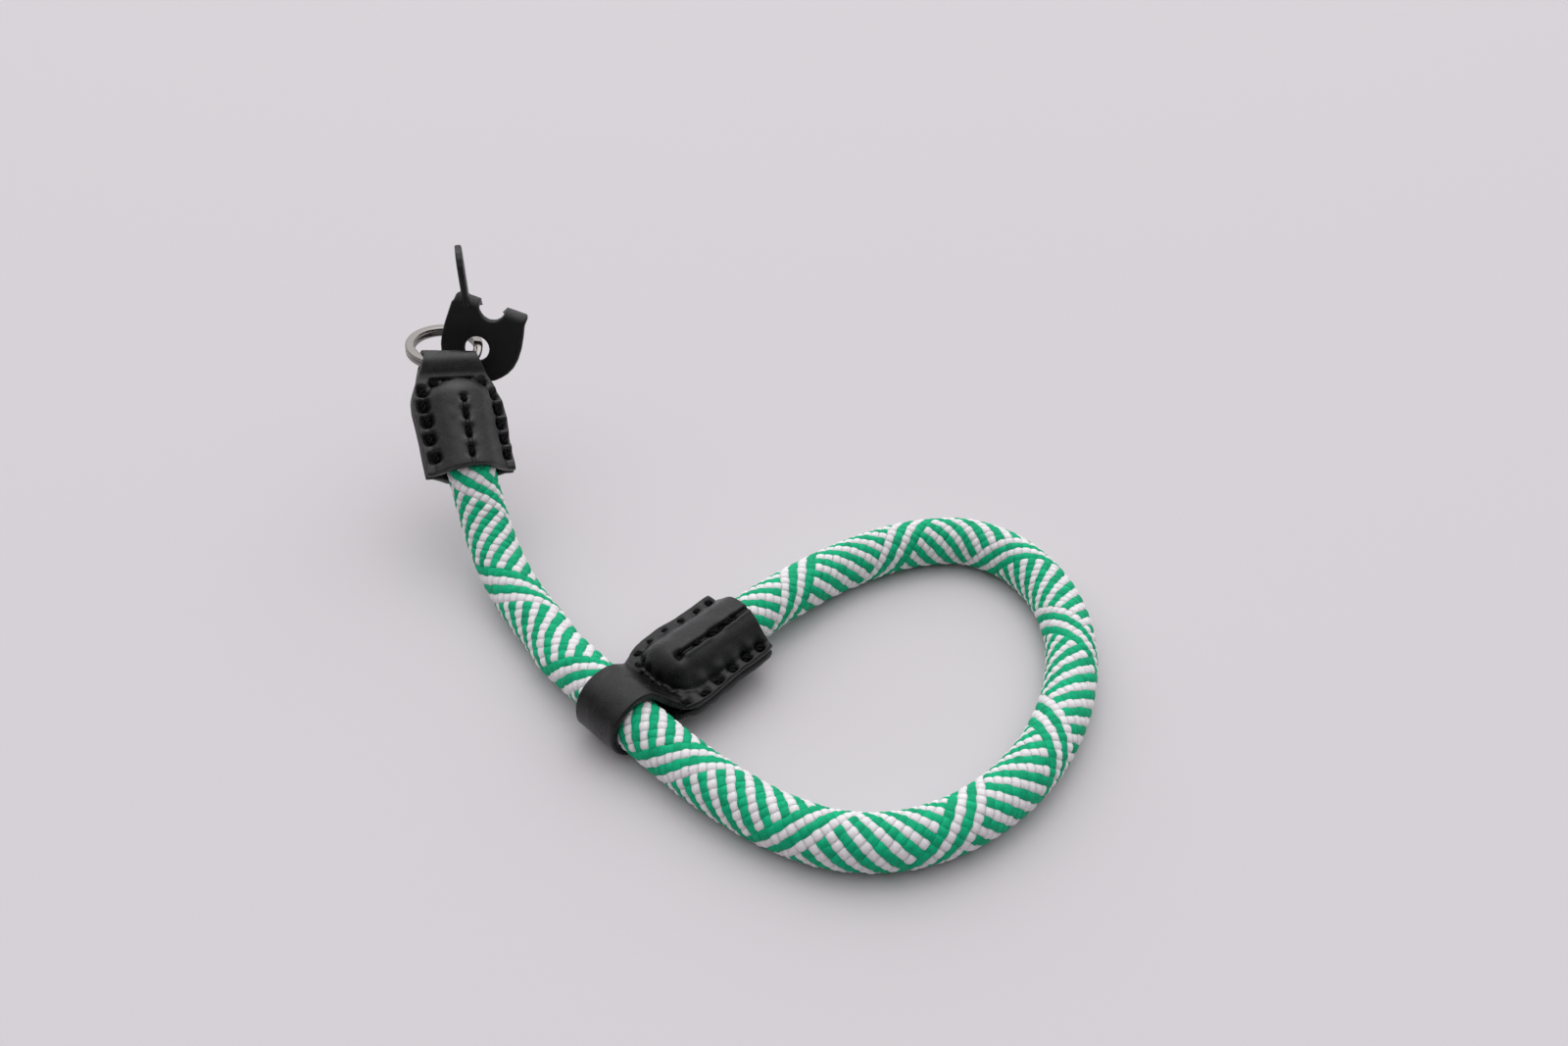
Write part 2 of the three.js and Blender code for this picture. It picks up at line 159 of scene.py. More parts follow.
class Shape:
    """Points and faces of several closed parts of one piece."""

    def __init__(self):
        self.verts, self.quads, self.tris, self.fibre, self.n = [], [], [], [], 0

    def tube(self, rings, fibre=None):
        """rings: (n, m, 3) points. Both ends are closed."""
        rings = np.asarray(rings, float)
        n, m = rings.shape[:2]
        v = np.concatenate([rings.reshape(-1, 3), [rings[0].mean(0)], [rings[-1].mean(0)]])
        q = grid_faces(n, m, True)
        t = np.concatenate([fan_faces(np.arange(m), n * m)[:, ::-1],
                            fan_faces(np.arange(m) + (n - 1) * m, n * m + 1)])
        p = v
        vol = (np.einsum("ij,ij->i", p[q[:, 0]], np.cross(p[q[:, 1]], p[q[:, 2]])).sum()
               + np.einsum("ij,ij->i", p[q[:, 0]], np.cross(p[q[:, 2]], p[q[:, 3]])).sum())
        if vol < 0:
            q, t = q[:, ::-1], t[:, ::-1]
        self.verts.append(v)
        self.quads.append(q + self.n)
        self.tris.append(t + self.n)
        if fibre is not None:
            f = np.asarray(fibre, float).reshape(-1, 3)
            self.fibre.append(np.concatenate([f, f[:1], f[-1:]]))
        self.n += len(v)

    def piece(self, name, material, body, slot, node=None):
        return add_piece(name, np.concatenate(self.verts),
                         [np.concatenate(self.quads), np.concatenate(self.tris)],
                         material, body, node,
                         np.concatenate(self.fibre) if self.fibre else None)


# ---------------------------------------------------------------- materials
def material(name, colour, roughness, metallic=0.0, specular=0.5):
    m = bpy.data.materials.new(name)
    m.use_nodes = True
    nodes, links = m.node_tree.nodes, m.node_tree.links
    b = nodes["Principled BSDF"]
    b.inputs["Base Color"].default_value = (*colour, 1)
    b.inputs["Roughness"].default_value = roughness
    b.inputs["Metallic"].default_value = metallic
    b.inputs["Specular IOR Level"].default_value = specular
    return m, nodes, links, b


def noise(nodes, links, vector, scale, detail=2.0, roughness=0.5):
    n = nodes.new("ShaderNodeTexNoise")
    n.inputs["Scale"].default_value = scale
    n.inputs["Detail"].default_value = detail
    n.inputs["Roughness"].default_value = roughness
    links.new(vector, n.inputs["Vector"])
    return n


def ramp(nodes, links, value, low, high, a, b):
    r = nodes.new("ShaderNodeMapRange")
    r.inputs["From Min"].default_value = low
    r.inputs["From Max"].default_value = high
    r.inputs["To Min"].default_value = a
    r.inputs["To Max"].default_value = b
    links.new(value, r.inputs["Value"])
    return r.outputs["Result"]


def mix_colour(nodes, links, factor, a, b):
    n = nodes.new("ShaderNodeMix")
    n.data_type = "RGBA"
    links.new(factor, n.inputs[0])
    n.inputs[6].default_value = (*a, 1)
    n.inputs[7].default_value = (*b, 1)
    return n.outputs[2]


def bump(nodes, links, height, strength, distance, normal=None):
    n = nodes.new("ShaderNodeBump")
    n.inputs["Strength"].default_value = strength
    n.inputs["Distance"].default_value = distance
    links.new(height, n.inputs["Height"])
    if normal is not None:
        links.new(normal, n.inputs["Normal"])
    return n.outputs["Normal"]


def yarn_material(name, dark, light, roughness, glow):
    m, nodes, links, b = material(name, light, roughness, specular=0.15)
    b.inputs["Subsurface Weight"].default_value = glow
    b.inputs["Subsurface Radius"].default_value = (1.0, 1.0, 1.0)
    b.inputs["Subsurface Scale"].default_value = 0.0009
    at = nodes.new("ShaderNodeAttribute")
    at.attribute_name = "fibre"
    lengthwise = nodes.new("ShaderNodeMapping")
    lengthwise.inputs["Scale"].default_value = (0.55, 7.0, 1.0)
    links.new(at.outputs["Vector"], lengthwise.inputs["Vector"])
    fine = noise(nodes, links, lengthwise.outputs["Vector"], 1.0, 3.0, 0.6)
    patch = noise(nodes, links, at.outputs["Vector"], 0.35, 2.0)
    both = nodes.new("ShaderNodeMath")
    both.operation = "MULTIPLY_ADD"
    links.new(fine.outputs["Fac"], both.inputs[0])
    both.inputs[1].default_value = 0.75
    links.new(ramp(nodes, links, patch.outputs["Fac"], 0.3, 0.7, 0.0, 0.25), both.inputs[2])
    links.new(mix_colour(nodes, links, ramp(nodes, links, both.outputs[0], 0.3, 0.66, 0.0, 1.0), dark, light),
              b.inputs["Base Color"])
    links.new(bump(nodes, links, fine.outputs["Fac"], 0.3, 0.0001), b.inputs["Normal"])
    return m


def leather_material(name, base, worn_and_painted_light, roughness, grit, shine=0.42, flecks=0.0):
    m, nodes, links, b = material(name, base, roughness, specular=shine)
    co = nodes.new("ShaderNodeTexCoord").outputs["Object"]
    grain = nodes.new("ShaderNodeTexVoronoi")
    grain.feature = "SMOOTH_F1"
    grain.inputs["Scale"].default_value = 4600.0
    grain.inputs["Smoothness"].default_value = 0.3
    links.new(co, grain.inputs["Vector"])
    fine = noise(nodes, links, co, 9000.0, 1.0)
    spots = noise(nodes, links, co, 4300.0, 2.0, 0.6)
    broad = noise(nodes, links, co, 260.0, 3.0)
    # Convex edges and pale flecks mix toward the second colour. On the edges this is wear. For the two cap leathers
    # that colour and the amount of flecks are also set lighter or darker as painted light and painted shade.
    geo = nodes.new("ShaderNodeNewGeometry")
    edge = ramp(nodes, links, geo.outputs["Pointiness"], 0.54, 0.68, 0.0, 1.0)
    specks = noise(nodes, links, co, 3600.0, 1.0)
    pale = nodes.new("ShaderNodeMath")
    pale.operation = "ADD"
    links.new(edge, pale.inputs[0])
    links.new(ramp(nodes, links, specks.outputs["Fac"], 0.56, 0.72, 0.0, flecks), pale.inputs[1])
    links.new(mix_colour(nodes, links, pale.outputs[0], base, worn_and_painted_light), b.inputs["Base Color"])
    patches = ramp(nodes, links, broad.outputs["Fac"], 0.35, 0.65, roughness - 0.04, roughness + 0.08)
    both = nodes.new("ShaderNodeMath")
    both.operation = "ADD"
    links.new(patches, both.inputs[0])
    links.new(ramp(nodes, links, spots.outputs["Fac"], 0.35, 0.6, -0.25 * roughness, 0.12), both.inputs[1])
    links.new(both.outputs[0], b.inputs["Roughness"])
    n1 = bump(nodes, links, grain.outputs["Distance"], 0.7 * grit, 0.00006)
    n2 = bump(nodes, links, fine.outputs["Fac"], grit, 0.00004, n1)
    n3 = bump(nodes, links, broad.outputs["Fac"], 0.12, 0.0004, n2)
    links.new(n3, b.inputs["Normal"])
    return m


GREEN = yarn_material("rope_green", (0.001, 0.27, 0.13), (0.004, 0.52, 0.25), 0.6, 0.0)
WHITE = yarn_material("rope_white", (0.74, 0.69, 0.72), (0.93, 0.88, 0.91), 0.65, 1.0)
# The core's dark green-grey is painted shade: where it shows in the gaps between the yarns it stands for the shadow
# down in the braid.
CORE_PAINTED_SHADE, *_ = material("rope_core_painted_shade", (0.02, 0.10, 0.06), 0.9)
# The ring cap and the slider cap are one leather in a lit and a shaded copy. The ring cap's copy has a paler base and
# edge colour and more pale flecks as painted light. The slider's copy has a darker base and edge colour and fewer
# flecks as painted shade, and also a lower roughness and specular level.
LEATHER_PAINTED_LIGHTER = leather_material("leather", (0.0065, 0.006, 0.006), (0.030, 0.028, 0.029), 0.32, 0.9, 0.56, 1.5)
SLEEK_PAINTED_DARKER = leather_material("leather_sleek_painted_darker", (0.0022, 0.002, 0.0022), (0.016, 0.015, 0.016), 0.25, 0.9, 0.36, 0.6)
PLAIN = leather_material("leather_smooth", (0.005, 0.005, 0.0055), (0.03, 0.03, 0.032), 0.42, 0.35)

THREAD, t_nodes, t_links, t_bsdf = material("thread", (0.002, 0.002, 0.0022), 0.7, specular=0.12)
t_noise = noise(t_nodes, t_links, t_nodes.new("ShaderNodeTexCoord").outputs["Object"], 3500.0, 2.0)
t_links.new(bump(t_nodes, t_links, t_noise.outputs["Fac"], 0.4, 0.0001), t_bsdf.inputs["Normal"])

METAL, m_nodes, m_links, m_bsdf = material("ring_metal", (0.27, 0.25, 0.24), 0.16, metallic=1.0)
m_noise = noise(m_nodes, m_links, m_nodes.new("ShaderNodeTexCoord").outputs["Object"], 900.0, 4.0, 0.6)
m_links.new(ramp(m_nodes, m_links, m_noise.outputs["Fac"], 0.35, 0.7, 0.12, 0.26), m_bsdf.inputs["Roughness"])
m_links.new(bump(m_nodes, m_links, m_noise.outputs["Fac"], 0.1, 0.00008), m_bsdf.inputs["Normal"])

# ---------------------------------------------------------------- rope line
ROPE_D = 11.2
EYE = np.array([-9.0, -12.6, -10.7])
CAP_AXIS = unit([0.246, -0.755, -0.607])
CAP_ACROSS = np.array([0.886, 0.43, -0.176])
BAND = np.array([39.4, -95.2, -41.4])
SLIDER_AXIS = unit([0.686, 0.728, 0.01])
ROPE_PATH = [
    (-1.6, -34.0, 21.0), (0.4, -38.4, 16.5), (2.5, -42.8, 12.7), (5.8, -49.2, 9.1),
    (10.1, -56.4, 6.8), (14.7, -63.2, 5.8), (20.8, -71.6, 5.6), (24.0, -76.9, 5.9),
    (27.4, -81.1, 6.4), (30.7, -85.0, 6.9), (34.2, -89.1, 7.3), (39.4, -95.2, 7.6),
    (45.3, -100.8, 6.9), (53.3, -107.7, 5.8), (62.3, -115.1, 5.6), (72.4, -121.6, 5.6),
    (83.3, -125.6, 5.6), (94.9, -125.5, 5.6), (105.9, -121.4, 5.6), (115.3, -114.4, 5.6),
    (123.1, -105.5, 5.6), (129.1, -95.3, 5.6), (133.2, -84.5, 5.6), (135.5, -72.7, 5.6),
    (135.5, -61.3, 5.6), (132.5, -49.7, 5.6), (126.0, -39.9, 5.6), (115.9, -34.6, 5.6),
    (104.2, -35.7, 5.6), (93.5, -40.4, 5.6), (83.6, -47.2, 5.8), (74.8, -55.7, 6.8),
    (66.3, -65.4, 7.8),
]


def curve_through(points, steps=40):
    """A centripetal Catmull-Rom curve."""
    out, last = [], len(points) - 1
    for k in range(last):
        p1, p2 = points[k], points[k + 1]
        p0 = points[k - 1] if k else 2 * p1 - p2
        p3 = points[k + 2] if k + 2 <= last else 2 * p2 - p1
        d = [max(np.sum((a - b) ** 2), 1e-12) ** 0.25 for a, b in ((p0, p1), (p1, p2), (p2, p3))]
        t1 = ((p1 - p0) / d[0] - (p2 - p0) / (d[0] + d[1]) + (p2 - p1) / d[1]) * d[1]
        t2 = ((p2 - p1) / d[1] - (p3 - p1) / (d[1] + d[2]) + (p3 - p2) / d[2]) * d[1]
        w = np.linspace(0, 1, steps, endpoint=False)[:, None]
        out.append(p1 + t1 * w + (-3 * p1 + 3 * p2 - 2 * t1 - t2) * w**2 + (2 * p1 - 2 * p2 + t1 + t2) * w**3)
    return np.concatenate(out + [points[-1:]])


line = curve_through(np.array(
    [EYE + CAP_AXIS * 10, EYE + CAP_AXIS * 19.6]
    + [(x, y, FLOOR + up) for x, y, up in ROPE_PATH]
    + [BAND + SLIDER_AXIS * d for d in (32, 24, 13.5)]))
reach = np.r_[0, np.cumsum(np.linalg.norm(np.diff(line, axis=0), axis=1))]
ROPE_LENGTH = float(reach[-1])
S = np.linspace(0, ROPE_LENGTH, int(ROPE_LENGTH / 0.25))
CENTRE = np.stack([np.interp(S, reach, line[:, k]) for k in range(3)], 1)
TANGENT = unit(np.gradient(CENTRE, axis=0))
UPWARD = np.zeros_like(TANGENT)
n = np.array([0.0, 0.0, 1.0])
for k in range(len(S)):
    n = n - TANGENT[k] * (n @ TANGENT[k])
    n /= np.linalg.norm(n)
    UPWARD[k] = n
SIDEWAYS = np.cross(TANGENT, UPWARD)


def on_rope(s, angle, radius):
    """Points round the rope's line. The arguments are arrays of one shape."""
    t = np.clip(s, 0, ROPE_LENGTH) / ROPE_LENGTH * (len(S) - 1)
    i = np.clip(t.astype(int), 0, len(S) - 2)
    f = (t - i)[..., None]
    pick = lambda a: a[i] * (1 - f) + a[i + 1] * f
    return (pick(CENTRE) + (np.cos(angle) * radius)[..., None] * pick(UPWARD)
            + (np.sin(angle) * radius)[..., None] * pick(SIDEWAYS))


# ---------------------------------------------------------------- braid
# 12 yarns run left-handed and 12 right-handed, one over one. The lay table gives
# how many yarns each hand has turned by, along the rope.
LAY = [
    (-10, -2.69, 15.72), (0, 1.21, 11.74), (10, 5.10, 7.76), (20, 9.00, 3.78),
    (30, 12.99, -0.22), (40, 16.75, -4.13), (50, 20.16, -7.75), (60, 23.45, -11.09),
    (70, 26.77, -14.38), (80, 30.25, -17.84), (90, 33.96, -21.65), (100, 37.86, -25.75),
    (110, 41.82, -30.00), (120, 45.74, -34.26), (130, 49.66, -38.45), (140, 54.14, -42.68),
    (150, 58.78, -46.71), (160, 63.09, -50.93), (170, 67.07, -55.13), (180, 71.15, -59.26),
    (190, 75.45, -63.29), (200, 79.63, -67.24), (210, 83.63, -71.14), (220, 87.48, -75.08),
    (230, 91.24, -79.11), (240, 95.16, -83.28), (250, 99.39, -87.64), (260, 103.70, -91.96),
    (270, 107.91, -95.68), (280, 111.88, -99.09), (290, 115.64, -102.87), (300, 119.50, -106.81),
    (310, 123.41, -110.65), (320, 126.96, -114.19), (330, 130.40, -117.60), (340, 134.18, -121.19),
    (350, 137.99, -124.78), (360, 141.75, -128.35), (370, 145.51, -131.92), (380, 149.28, -135.50),
]
lay_s, lay_left, lay_right = (np.array(c, float) for c in zip(*LAY))
YARNS = 12
R_MID, R_LIFT = 4.90, 0.29
STEP = 0.345
SECTION = 12


def soft(x, p=0.75):
    return np.sign(x) * np.abs(x) ** p


def yarn(hand, index, half_thick, fill, square, flat):
    """Rings of one yarn: hand is 1 for left-handed and -1 for right-handed."""
    s0 = np.arange(0.8, ROPE_LENGTH - 1.0, STEP)
    own = smooth_table(lay_s, lay_left if hand > 0 else lay_right, s0)
    angle0 = 2 * np.pi * (index - own[0]) / YARNS
    lean = -2 * np.pi / YARNS * own[1]
    slope = lean * R_MID
    norm = np.sqrt(1 + slope**2)
    half = 0.5 * (2 * np.pi * (R_MID + R_LIFT) / YARNS) / norm * fill
    a = 2 * np.pi * np.arange(SECTION) / SECTION
    w = half[:, None] * soft(np.cos(a), square)[None, :]
    h = half_thick * soft(np.sin(a), square)[None, :]
    s = s0[:, None] - w * (slope / norm)[:, None]
    angle = angle0[:, None] + w / (R_MID * norm)[:, None]
    other = smooth_table(lay_s, lay_right if hand > 0 else lay_left, s)[0]
    phase = np.pi * (angle * YARNS / (2 * np.pi) + other - index)
    lift = hand * R_LIFT * soft(np.cos(phase), flat)
    along = np.cumsum(np.r_[0, np.diff(s0) * norm[1:]])
    wave = 0.05 * wander(along / 2.3, index * 7 + (hand > 0) * 101)[:, None]
    radius = R_MID + lift + h + wave
    fibre = np.stack(np.broadcast_arrays(along[:, None], w, 5.0 * index + (60 if hand > 0 else 0) + 0 * w), -1)
    return on_rope(s, angle, radius), fibre


for colour in ("green", "white"):
    for hand in (1, -1):
        lot = Shape()
        for k in range(YARNS):
            is_white = (k % 2 == 1) if hand > 0 and 8 <= k <= 11 else (k % 2 == 0)
            if is_white == (colour == "white"):
                lot.tube(*yarn(hand, k, *((0.50, 1.16, 1.0, 0.9) if is_white else (0.45, 1.2, 0.85, 0.75))))
        lot.piece(f"rope_{colour}_yarns_{'left' if hand > 0 else 'right'}",
                                        WHITE if colour == "white" else GREEN, "strap", "rope_" + colour, "rope")
# A plain core under the yarns, coloured dark as painted shade for the gaps between them.
core = Shape()
cs = np.arange(1.0, ROPE_LENGTH - 1.0, 1.0)
ca = 2 * np.pi * np.arange(24) / 24
core.tube(on_rope(cs[:, None] + 0 * ca, ca + 0 * cs[:, None], 4.42 + 0 * (cs[:, None] + ca)))
rope_core_painted_shade = core.piece("rope_core_painted_shade", CORE_PAINTED_SHADE, "strap", "rope_green", "rope")


# ---------------------------------------------------------------- where the split ring is
RING_OD, RING_BAND, COIL_H, COIL_GAP = 18.4, 2.2, 1.2, 0.1
RING_R = RING_OD / 2 - RING_BAND / 2
RING_CENTRE = np.array([-12.3, -5.1, -10.8])
RING_AXIS = unit([0.08, 0.0, 1.0])
ring_x = -unit(np.cross(np.cross([1.0, 0, 0], RING_AXIS), RING_AXIS))
ring_y = np.cross(RING_AXIS, ring_x)

# ---------------------------------------------------------------- leather caps
class Cap:
    """One strip of leather folded at one end, with its two halves sewn together round the rope."""

    def __init__(self, origin, axis, hint, table, shift, leather):
        self.o, self.axis = origin, axis
        self.normal = unit(np.cross(hint, axis))
        if self.normal[2] < 0:
            self.normal = -self.normal
        self.left = unit(np.cross(self.normal, axis))
        self.shift, self.leather = shift, leather
        t = np.array([list(r) + [0.0] * (6 - len(r)) for r in table], float)
        fine = np.arange(t[0, 0], t[-1, 0] + 1e-9, 0.1)
        self.fine = fine
        kernel = np.exp(-0.5 * (np.arange(-15, 16) / 5.0) ** 2)
        kernel /= kernel.sum()
        self.cols = []
        for c in range(1, 6):
            y = np.interp(fine, t[:, 0], t[:, c])
            if c != 3:
                padded = np.r_[np.full(15, y[0]), y, np.full(15, y[-1])]
                y = np.convolve(padded, kernel, "valid")
            self.cols.append(y)

    def row(self, s):
        return [np.interp(s, self.fine, c) for c in self.cols]

    def height(self, s, u):
        _, _, flat, dome, _ = self.row(s)
        a = np.abs(u)
        r = np.maximum(dome, 0.01)
        turn_at = 0.72 * r
        round_ = np.where(a < turn_at, np.sqrt(np.maximum(r * r - a * a, 0)), 0.694 * r - 1.04 * (a - turn_at))
        blend = 0.8 * np.clip(dome / 3, 0, 1) ** 2
        return np.where(dome < 0.02, flat, (flat + round_ + np.sqrt((flat - round_) ** 2 + blend + 1e-6)) / 2)

    def place(self, s, u, w):
        skew = self.row(s)[4]
        aside = self.shift * np.clip((9.6 - s) / 5, 0, 1)
        return (self.o + (s + skew * u)[..., None] * self.axis + (u + aside)[..., None] * self.left
                + w[..., None] * self.normal)

    def surface(self, s, u, side=1):
        s, u = np.broadcast_arrays(np.asarray(s, float), np.asarray(u, float))
        return self.place(s, u, side * self.height(s, u))

    def frame_at(self, s, u, side=1):
        e = 0.2
        p = self.surface(s, u, side)
        du = unit(self.surface(s, u + e, side) - self.surface(s, u - e, side))
        ds = unit(self.surface(s + e, u, side) - self.surface(s - e, u, side))
        n = unit(np.cross(du, ds))
        if n @ self.normal * side < 0:
            n = -n
        return p, ds, du, n


def resampled(x, y, count):
    """count points evenly spaced along a line, from each row's points."""
    d = np.r_[0, np.cumsum(np.hypot(np.diff(x), np.diff(y)))]
    t = np.linspace(0, d[-1], count)
    return np.interp(t, d, x), np.interp(t, d, y)


def build_cap(cap, mouth, fold_at, fold_rows, step_top, step_low, cols, dents, thin=0.0):
    """Rings of the folded strip, from the upper mouth round the fold to the lower mouth.
    fold_rows(u) gives the profile round the fold at u across; dents(s, u, side) how far the
    outer face lies below its plain shape."""
    half_cols = cols // 2
    edge = 0.32

    def plain(s, side):
        left, right, *_ = cap.row(s)
        us, ws = [], []
        for sign, half in ((-1, right), (1, left)):
            u = sign * np.linspace(0, half - edge, 160)
            uu, ww = resampled(u, cap.height(np.full_like(u, s), u), half_cols + 1)
            us.append(uu)
            ws.append(ww)
        u = np.r_[us[0][::-1], us[1][1:]]
        w = np.r_[ws[0][::-1], ws[1][1:]]
        return np.full_like(u, s), u, side * w

    rows = []
    for s in np.arange(mouth, fold_at, -step_top):
        rows.append((*plain(s, 1), 1))
    u_end = plain(fold_at, 1)[1]
    profiles = [fold_rows(u) for u in u_end]
    count = len(profiles[0])
    for k in range(count):
        s = np.array([p[k][0] for p in profiles])
        w = np.array([p[k][1] for p in profiles])
        left, right, *_ = cap.row(s)
        wide = np.where(u_end < 0, right, left) - edge
        wide_end = np.where(u_end < 0, cap.row(fold_at)[1], cap.row(fold_at)[0]) - edge
        rows.append((s, u_end * wide / wide_end, w, 0))
    for s in np.arange(mouth, fold_at, -step_low)[::-1]:
        rows.append((*plain(s, -1), -1))
    s, u, w = (np.array([r[k] for r in rows]) for k in range(3))
    side = np.array([r[3] for r in rows])[:, None] * np.ones_like(s)
    base = cap.place(s, u, w)
    across = np.gradient(base, axis=1)
    along = np.gradient(base, axis=0)
    normal = unit(np.cross(across, along))
    mid = len(rows) // 4
    if normal[mid, cols // 2] @ cap.normal < 0:
        normal = -normal
    t = np.clip((2.6 - s) / 2.6, 0, 1)
    thick = cap.leather - thin * t * t * (3 - 2 * t)
    inner = base - thick[..., None] * normal
    level = np.einsum("ijk,k->ij", inner - cap.o, cap.normal)
    floor_ = 0.04
    fix = np.where(side > 0, np.maximum(level, floor_), np.where(side < 0, np.minimum(level, -floor_), level)) - level
    inner = inner + fix[..., None] * cap.normal
    dent = dents(s, u, side)
    outer = base - dent[..., None] * normal
    # the mouth's edge is eased
    eased = np.zeros(len(rows))
    eased[0], eased[-1] = 0.38, 0.38
    eased[1], eased[-2] = 0.12, 0.08
    outer = outer - eased[:, None, None] * normal
    inner = inner + 0.3 * eased[:, None, None] * normal * np.where(np.abs(fix)[..., None] > 0.3, 0, 1)
    rings = []
    for end, other in ((-1, -2), (0, 1)):
        out = unit(base[:, end] - base[:, other])
        n = normal[:, end]
        gap = np.linalg.norm(inner[:, end] - outer[:, end], axis=1)[:, None]
        down = unit(inner[:, end] - outer[:, end])
        pts = [outer[:, end] + out * (edge * b) + down * gap * d
               for d, b in ((0.08, 0.62), (0.3, 0.97), (0.55, 1.0), (0.8, 0.85), (0.95, 0.5))]
        rings.append(np.stack(pts, 1))
    loop = np.concatenate([outer, rings[0], inner[:, ::-1], rings[1][:, ::-1]], axis=1)
    n_rows, m = loop.shape[:2]
    verts = loop.reshape(-1, 3)
    quads = [grid_faces(n_rows, m, True)]
    cols_n = outer.shape[1]
    k = rings[0].shape[1]
    tris = []
    for row, flip in ((0, False), (n_rows - 1, True)):
        b = row * m
        c = np.arange(cols_n - 1)
        o1, o2 = b + c, b + c + 1
        i1, i2 = b + 2 * cols_n + k - 1 - c, b + 2 * cols_n + k - 2 - c
        q = np.stack([o1, i1, i2, o2], -1)
        quads.append(q if not flip else q[:, ::-1])
        left_loop = [b + cols_n - 1 + t for t in range(k + 2)]
        right_loop = [b + 2 * cols_n + k - 1 + t for t in range(k + 1)] + [b]
        for loop_ in (left_loop, right_loop):
            fan = [(loop_[0], loop_[t + 1], loop_[t]) for t in range(1, len(loop_) - 1)]
            tris.extend(fan if not flip else [f[::-1] for f in fan])
    return verts, [np.concatenate(quads), np.array(tris)]


class Stitches:
    """Stitches of two-strand thread, each lying in its own dent."""

    def __init__(self, cap):
        self.cap, self.items, self.shape = cap, [], Shape()

    def add(self, s, u, turn=0.0, length=3.3, side=1, sink=1.1, radius=0.42, dent=1.25, wide=1.15):
        k = len(self.items)
        s, u = s + 0.25 * (hashed(k, 1) - 0.5), u + 0.3 * (hashed(k, 2) - 0.5)
        turn = turn + 16 * (float(hashed(k, 3)) - 0.5)
        length = length * (0.92 + 0.16 * float(hashed(k, 4)))
        s, u = float(s), float(u)
        self.items.append((s, u, side, math.radians(turn), length, dent, wide))
        p, ds, du, n = self.cap.frame_at(s, u, side)
        way = math.cos(math.radians(turn)) * ds + math.sin(math.radians(turn)) * du
        way = unit(way - n * (way @ n))
        flank = np.cross(n, way)
        seed = len(self.items)
        t = np.linspace(-1, 1, 22)
        for strand in (0, 1):
            spin = 3.4 * t + strand * math.pi + 1.7 * seed
            rise = 0.30 - sink - 1.5 * np.abs(t) ** 5
            off = 0.44 * (1 - 0.4 * t**4)
            centre = (p + (0.5 * length * t)[:, None] * way + (rise + 0.34 * np.sin(spin) * off)[:, None] * n
                      + (off * np.cos(spin))[:, None] * flank)
            tangent = unit(np.gradient(centre, axis=0))
            side1 = unit(np.cross(tangent, n + 0.001 * way))
            side2 = np.cross(side1, tangent)
            a = 2 * np.pi * np.arange(10) / 10
            r = radius * (1 - 0.15 * t**4)[:, None, None]
            ring = centre[:, None] + r * (np.cos(a)[None, :, None] * side1[:, None] + np.sin(a)[None, :, None] * side2[:, None])
            self.shape.tube(ring)

    def dents(self, s, u, side):
        out = np.zeros_like(s)
        for s0, u0, sd, turn_, length, depth, wide in self.items:
            a = (s - s0) * math.cos(turn_) + (u - u0) * math.sin(turn_)
            b = -(s - s0) * math.sin(turn_) + (u - u0) * math.cos(turn_)
            g = np.exp(-((a / (0.5 * length)) ** 4) - np.abs(b / wide) ** 2.6)
            out += depth * g * (side == sd)
        return out


def leather_waves(s, u, side, seed):
    return (0.10 * wander2(s / 4.2, u / 3.6 + 40, seed) + 0.05 * wander2(s / 1.9, u / 1.7 + 40, seed + 1)
            + 0.015 * wander2(s / 0.7, u / 0.7 + 40, seed + 2)) * (1 + 0 * side)


# ring cap: distance along it, width to its left and right, flat half thickness, dome
RING_ROWS = [
    (-3.6, 5.8, 5.9, 3.1, 0), (-1.7, 5.9, 6.6, 3.1, 0), (-0.4, 6.0, 7.1, 3.1, 0),
    (0.9, 6.4, 7.5, 3.0, 0), (1.9, 6.9, 7.8, 2.7, 0), (3.4, 7.5, 8.5, 1.8, 0), (4.4, 7.95, 9.0, 1.7, 0),
    (5.2, 8.35, 9.35, 1.7, 3.6), (6.2, 8.7, 9.8, 1.7, 5.2), (7.6, 9.3, 10.4, 1.7, 6.5),
    (9.4, 9.95, 10.95, 1.7, 7.3), (12, 10.5, 11.1, 1.7, 7.35), (16, 10.7, 10.8, 1.7, 7.3),
    (20, 10.5, 10.6, 1.7, 7.3), (24.5, 10.6, 10.5, 1.7, 7.35), (28.4, 10.6, 10.3, 1.7, 7.45),
]
ring_cap = Cap(EYE, CAP_AXIS, CAP_ACROSS, RING_ROWS, 0.0, 1.62)


def spline2(points, count):
    c = curve_through(np.array([(x, y, 0.0) for x, y in points]), 12)
    x, y = resampled(c[:, 0], c[:, 1], count)
    return list(zip(x, y))


turned = np.radians(np.arange(0, 360, 0.5))[:, None]
ring_line = RING_CENTRE + RING_R * (np.cos(turned) * ring_x + np.sin(turned) * ring_y) - EYE
ring_line = np.stack([ring_line @ ring_cap.left, ring_line @ CAP_AXIS, ring_line @ ring_cap.normal], 1)
ring_line = ring_line[ring_line[:, 1] > -4.5]
ring_line = ring_line[np.argsort(ring_line[:, 0])]


